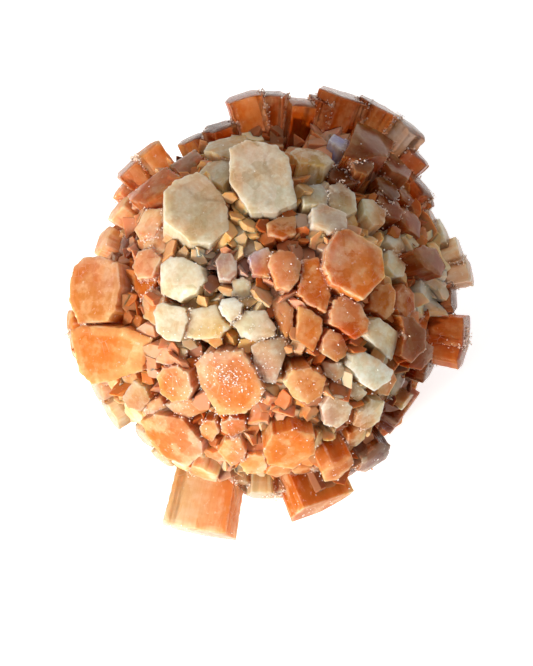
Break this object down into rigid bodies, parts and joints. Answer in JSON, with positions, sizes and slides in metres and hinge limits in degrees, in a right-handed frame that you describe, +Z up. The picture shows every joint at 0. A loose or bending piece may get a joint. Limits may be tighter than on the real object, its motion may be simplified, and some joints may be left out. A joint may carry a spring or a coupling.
{
  "type": "aragonite sputnik cluster",
  "caption": "Ball of intergrown blunt six-sided aragonite crystals radiating from one centre, resting on a small flat spot",
  "frame": {"origin": "centre of the flat spot that the ball rests on, straight below the point that the crystals grew from", "axes": "+Z up; the well-formed face of the ball looks towards -Y and 60 degrees up; +X is to the right of that face"},
  "size_m": [0.059, 0.0604, 0.0564],
  "materials": {
    "aragonite": "satin"
  },
  "bodies": {
    "root": {"crystal_cluster": "aragonite"}
  },
  "joints": []
}
